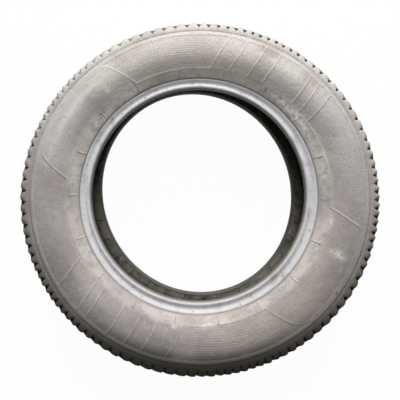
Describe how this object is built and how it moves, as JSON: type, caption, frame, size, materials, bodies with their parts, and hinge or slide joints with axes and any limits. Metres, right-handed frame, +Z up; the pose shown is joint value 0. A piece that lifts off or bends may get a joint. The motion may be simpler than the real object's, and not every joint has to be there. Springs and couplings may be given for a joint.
{
  "type": "old worn tyre",
  "caption": "Worn and weathered car tyre lying on its side, with a bare moulded sidewall, shoulder lugs and an open bore for a sixteen-inch wheel rim.",
  "frame": {"origin": "centre of the tyre's axis, at the level of the surface that it lies on", "axes": "+Z up along the wheel axis, +X and +Y across the tyre; the sidewall with the clearer moulded band faces +Z"},
  "size_m": [0.68, 0.68, 0.214],
  "materials": {
    "worn_rubber": "matt faded grey-brown rubber, dusty lower sidewall, rubbed shiny bead, dark damp inside"
  },
  "bodies": {
    "root": {"tyre": "worn_rubber"}
  },
  "joints": []
}
